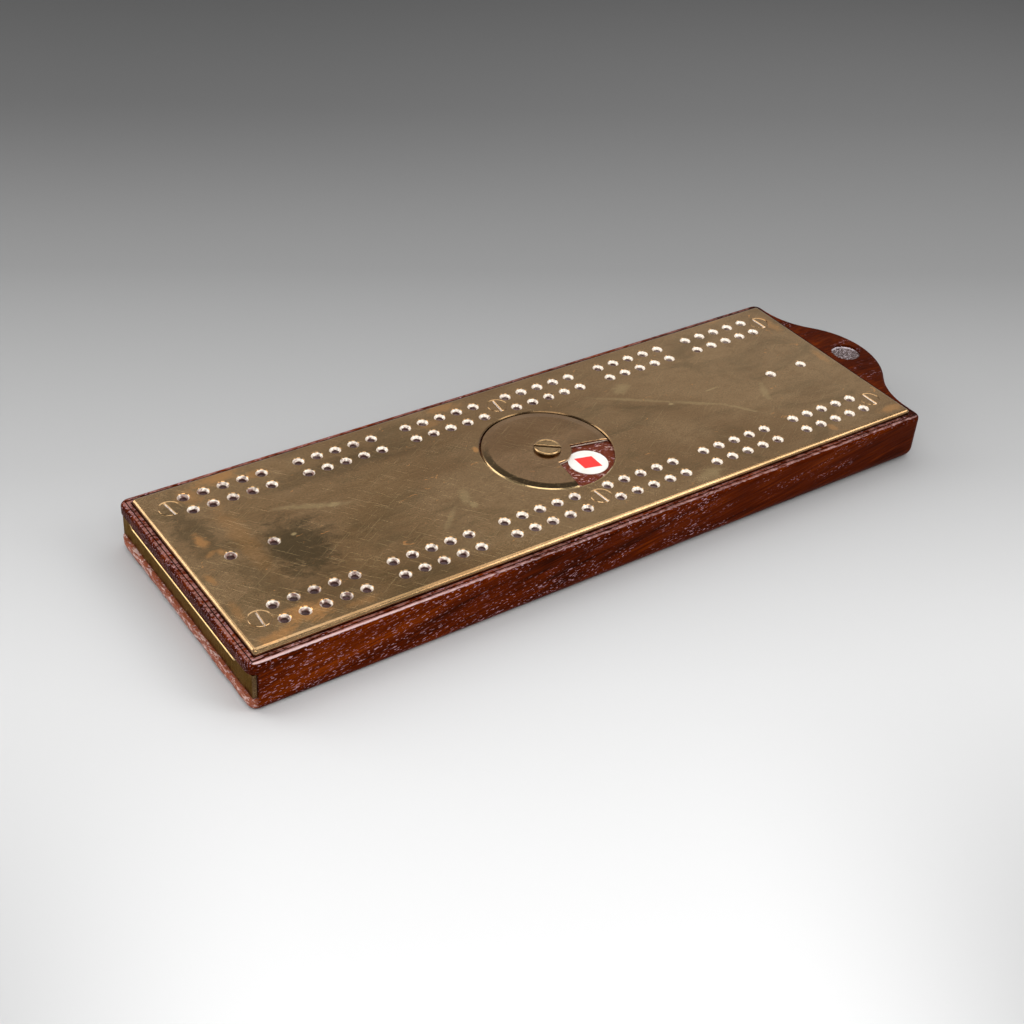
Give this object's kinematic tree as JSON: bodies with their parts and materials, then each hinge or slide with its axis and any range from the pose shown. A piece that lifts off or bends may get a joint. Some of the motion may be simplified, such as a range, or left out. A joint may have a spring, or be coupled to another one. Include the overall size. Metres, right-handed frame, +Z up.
{
  "type": "cribbage box",
  "caption": "Long wooden cribbage box with a brass peg plate, a turning suit marker, a drawer in one end and a rounded lobe on the other.",
  "frame": {"origin": "on the underside, below the middle of the brass plate", "axes": "+X along the box towards the lobe, +Y across it, +Z up out of the brass plate; the drawer opens along -X"},
  "size_m": [0.261, 0.084, 0.0192],
  "materials": {
    "mahogany": "french polished, worn at the edges",
    "drawer_wood": "planed, bare",
    "plug_wood": "rough end grain",
    "brass": "brushed along its length, dull with age",
    "peg_brass": "turned and polished",
    "peg_steel": "turned and polished",
    "bone": "smooth bone",
    "red_enamel": "inlaid colour",
    "black_enamel": "inlaid colour"
  },
  "bodies": {
    "box": {"base_board": "mahogany", "side_rail_near": "mahogany", "side_rail_far": "mahogany", "end_block": "mahogany", "top_board": "mahogany", "hanging_hole_plug": "plug_wood", "top_plate": "brass", "plate_screws": "brass", "pivot_screw": "brass", "pivot_washer": "brass", "diamond_token": "bone", "club_token": "bone", "heart_token": "bone", "spade_token": "bone", "diamond_pip": "red_enamel", "club_pip": "black_enamel", "heart_pip": "red_enamel", "spade_pip": "black_enamel"},
    "marker": {"marker_disc": "brass"},
    "drawer": {"drawer_front": "brass", "front_pins": "brass", "drawer_front_block": "drawer_wood", "drawer_side_near": "drawer_wood", "drawer_side_far": "drawer_wood", "drawer_bottom": "drawer_wood", "drawer_back": "drawer_wood", "pegs_brass": "peg_brass", "pegs_steel": "peg_steel"}
  },
  "joints": [
    {"name": "marker_turn", "type": "hinge", "parent": "box", "child": "marker", "pos_m": [0.001, 0.0009, 0.018], "axis": [0, 0, 1], "continuous": true},
    {"name": "drawer_slide", "type": "slide", "parent": "box", "child": "drawer", "axis": [-1, 0, 0], "range_m": [0, 0.072]}
  ]
}
